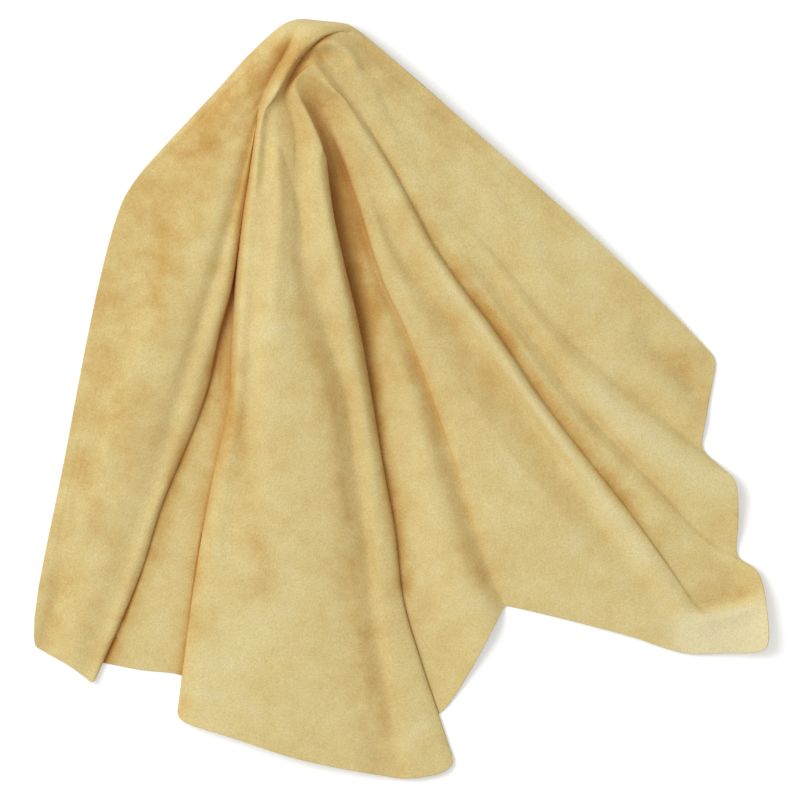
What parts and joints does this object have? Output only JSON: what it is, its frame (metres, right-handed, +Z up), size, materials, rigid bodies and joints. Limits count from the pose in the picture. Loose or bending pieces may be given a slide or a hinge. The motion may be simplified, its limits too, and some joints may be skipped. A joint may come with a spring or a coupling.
{
  "type": "chamois leather",
  "caption": "Soft suede chamois hide, pinched up below its top edge and laid on a table in a fan of long folds; used for drying and polishing.",
  "frame": {"origin": "on the table, under the middle of the box around the laid-out skin", "axes": "+Z up from the table; +Y across the table from the long hem towards the pinched hood; +X to the right as seen from above with the hood at the top"},
  "size_m": [0.587, 0.6066, 0.0379],
  "materials": {
    "chamois": "napped suede, straw yellow with tan mottling"
  },
  "bodies": {
    "root": {"chamois_skin": "chamois"}
  },
  "joints": []
}
